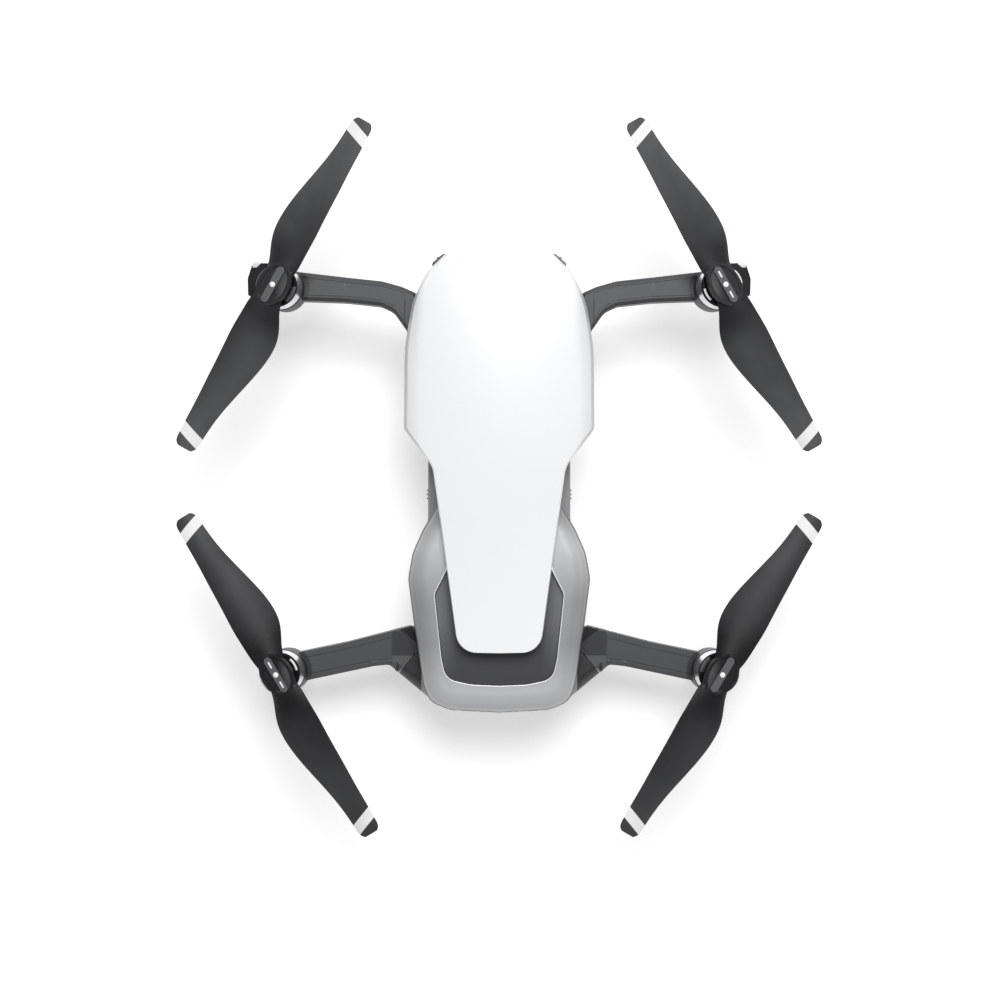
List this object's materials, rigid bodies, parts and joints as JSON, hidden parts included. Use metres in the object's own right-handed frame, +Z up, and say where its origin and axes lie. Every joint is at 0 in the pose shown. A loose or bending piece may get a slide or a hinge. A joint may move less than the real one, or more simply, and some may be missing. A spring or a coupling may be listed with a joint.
{
  "type": "quadcopter drone",
  "caption": "Folding quadcopter camera drone with a pale T-shaped top shell, four dark folding arms, two-blade propellers and a gimballed camera in the nose.",
  "frame": {"origin": "on the ground under the middle of the standing drone, halfway between the outermost propeller tips both ways", "axes": "+Z up, -Y towards the nose, +X towards the drone's own left side"},
  "size_m": [0.2354, 0.2584, 0.0639],
  "materials": {
    "shell_white": "fine satin moulded polycarbonate, near white",
    "body_grey": "fine matt moulded plastic, mid grey",
    "cowl_grey": "satin metallic grey moulded plastic",
    "deck_charcoal": "matt charcoal plastic",
    "gloss_black": "gloss black plastic",
    "black_plastic": "matt black plastic",
    "lens_glass": "dark coated glass",
    "lamp_clear": "milky clear lamp window",
    "steel": "machined steel",
    "board_green": "solder-masked circuit board",
    "heat_sink_metal": "die-cast fins",
    "ceramic_tan": "unglazed antenna ceramic",
    "gimbal_metal": "bead-blasted anodised",
    "soft_rubber": "soft moulded rubber",
    "motor_black": "satin black coated metal",
    "camera_grey": "satin dark grey",
    "battery_grey": "fine matt moulded plastic",
    "cell_foil": "foil pouch",
    "button_grey": "smooth matt plastic",
    "arm_grey": "satin dark grey coated plastic",
    "copper_stator": "dark enamelled copper windings on steel laminations",
    "motor_silver": "machined bright ring with a black cap",
    "propeller_black": "matt glass-filled nylon",
    "foot_rubber": "moulded rubber",
    "leg_grey": "matt dark plastic"
  },
  "bodies": {
    "airframe": {"top_shell": "shell_white", "lower_shell": "body_grey", "rear_cowl": "cowl_grey", "deck_panel": "deck_charcoal", "nose_housing": "gloss_black", "front_lenses": "lens_glass", "rear_lenses": "lens_glass", "downward_lenses": "lens_glass", "status_light": "lamp_clear", "hinge_pins": "steel", "screws": "steel", "main_board": "board_green", "power_board": "board_green", "heat_sink": "heat_sink_metal", "fan_housing": "black_plastic", "positioning_antenna": "ceramic_tan", "battery_connector": "black_plastic", "port_block": "black_plastic", "damper_plate": "gimbal_metal", "gimbal_dampers": "soft_rubber", "yaw_motor": "motor_black"},
    "fan": {"fan_rotor": "black_plastic"},
    "port_cover": {"port_cover": "body_grey"},
    "gimbal_yaw": {"yaw_arm": "gimbal_metal", "roll_motor": "motor_black"},
    "gimbal_roll": {"roll_arm": "gimbal_metal", "tilt_motor": "motor_black"},
    "camera": {"camera_body": "camera_grey", "camera_lens": "lens_glass"},
    "battery": {"battery_case": "battery_grey", "battery_cells": "cell_foil", "battery_board": "board_green"},
    "left_buckle": {"left_buckle": "body_grey"},
    "right_buckle": {"right_buckle": "body_grey"},
    "power_button": {"power_button": "button_grey"},
    "front_left_arm": {"front_left_arm": "arm_grey", "front_left_light": "lamp_clear", "front_left_stator": "copper_stator"},
    "rear_left_arm": {"rear_left_arm": "arm_grey", "rear_left_foot": "foot_rubber", "rear_left_stator": "copper_stator"},
    "front_left_leg": {"front_left_leg": "leg_grey", "front_left_foot": "foot_rubber"},
    "front_left_rotor": {"front_left_bell": "motor_silver", "front_left_propeller": "propeller_black"},
    "rear_left_rotor": {"rear_left_bell": "motor_silver", "rear_left_propeller": "propeller_black"},
    "front_right_arm": {"front_right_arm": "arm_grey", "front_right_light": "lamp_clear", "front_right_stator": "copper_stator"},
    "rear_right_arm": {"rear_right_arm": "arm_grey", "rear_right_foot": "foot_rubber", "rear_right_stator": "copper_stator"},
    "front_right_leg": {"front_right_leg": "leg_grey", "front_right_foot": "foot_rubber"},
    "front_right_rotor": {"front_right_bell": "motor_silver", "front_right_propeller": "propeller_black"},
    "rear_right_rotor": {"rear_right_bell": "motor_silver", "rear_right_propeller": "propeller_black"}
  },
  "joints": [
    {"name": "arm_front_left", "type": "hinge", "parent": "airframe", "child": "front_left_arm", "pos_m": [0.0259, -0.054, 0.039], "axis": [0, 0, -1], "range_deg": [-99, 0]},
    {"name": "arm_rear_left", "type": "hinge", "parent": "airframe", "child": "rear_left_arm", "pos_m": [0.034, 0.064, 0.027], "axis": [0.7694, -0.6388, 0], "range_deg": [-180, 0]},
    {"name": "leg_left", "type": "hinge", "parent": "front_left_arm", "child": "front_left_leg", "pos_m": [0.0898, -0.0739, 0.0326], "axis": [0, -1, 0], "range_deg": [-90, 0]},
    {"name": "rotor_front_left", "type": "hinge", "parent": "front_left_arm", "child": "front_left_rotor", "pos_m": [0.0784, -0.0698, 0.038], "axis": [0.1045, 0, 0.9945], "continuous": true},
    {"name": "rotor_rear_left", "type": "hinge", "parent": "rear_left_arm", "child": "rear_left_rotor", "pos_m": [0.0784, 0.0706, 0.027], "axis": [0.1045, 0, 0.9945], "continuous": true},
    {"name": "arm_front_right", "type": "hinge", "parent": "airframe", "child": "front_right_arm", "pos_m": [-0.0259, -0.054, 0.039], "axis": [0, 0, 1], "range_deg": [-99, 0]},
    {"name": "arm_rear_right", "type": "hinge", "parent": "airframe", "child": "rear_right_arm", "pos_m": [-0.034, 0.064, 0.027], "axis": [0.7694, 0.6388, 0], "range_deg": [-180, 0]},
    {"name": "leg_right", "type": "hinge", "parent": "front_right_arm", "child": "front_right_leg", "pos_m": [-0.0898, -0.0739, 0.0326], "axis": [0, 1, 0], "range_deg": [-90, 0]},
    {"name": "rotor_front_right", "type": "hinge", "parent": "front_right_arm", "child": "front_right_rotor", "pos_m": [-0.0784, -0.0698, 0.038], "axis": [-0.1045, 0, 0.9945], "continuous": true},
    {"name": "rotor_rear_right", "type": "hinge", "parent": "rear_right_arm", "child": "rear_right_rotor", "pos_m": [-0.0784, 0.0706, 0.027], "axis": [-0.1045, 0, 0.9945], "continuous": true},
    {"name": "camera_pan", "type": "hinge", "parent": "airframe", "child": "gimbal_yaw", "pos_m": [0, -0.055, 0.033], "axis": [0, 0, 1], "range_deg": [-12, 12]},
    {"name": "camera_roll", "type": "hinge", "parent": "gimbal_yaw", "child": "gimbal_roll", "pos_m": [0, -0.06, 0.0275], "axis": [0, 1, 0], "range_deg": [-30, 30]},
    {"name": "camera_tilt", "type": "hinge", "parent": "gimbal_roll", "child": "camera", "pos_m": [0.008, -0.0705, 0.0275], "axis": [1, 0, 0], "range_deg": [-22, 100]},
    {"name": "battery_slide", "type": "slide", "parent": "airframe", "child": "battery", "axis": [0, 0, -1], "range_m": [0, 0.012]},
    {"name": "buckle_left", "type": "slide", "parent": "battery", "child": "left_buckle", "axis": [-1, 0, 0], "range_m": [0, 0.0012], "stiffness_N_per_m": 800},
    {"name": "buckle_right", "type": "slide", "parent": "battery", "child": "right_buckle", "axis": [1, 0, 0], "range_m": [0, 0.0012], "stiffness_N_per_m": 800},
    {"name": "power_press", "type": "slide", "parent": "battery", "child": "power_button", "axis": [0, 0, 1], "range_m": [0, 0.0006], "stiffness_N_per_m": 800},
    {"name": "fan_spin", "type": "hinge", "parent": "airframe", "child": "fan", "pos_m": [0, -0.0015, 0.043], "axis": [0, 0, 1], "continuous": true},
    {"name": "port_cover_hinge", "type": "hinge", "parent": "airframe", "child": "port_cover", "pos_m": [-0.028, 0.0425, 0.0262], "axis": [0, -1, 0], "range_deg": [0, 105]}
  ]
}
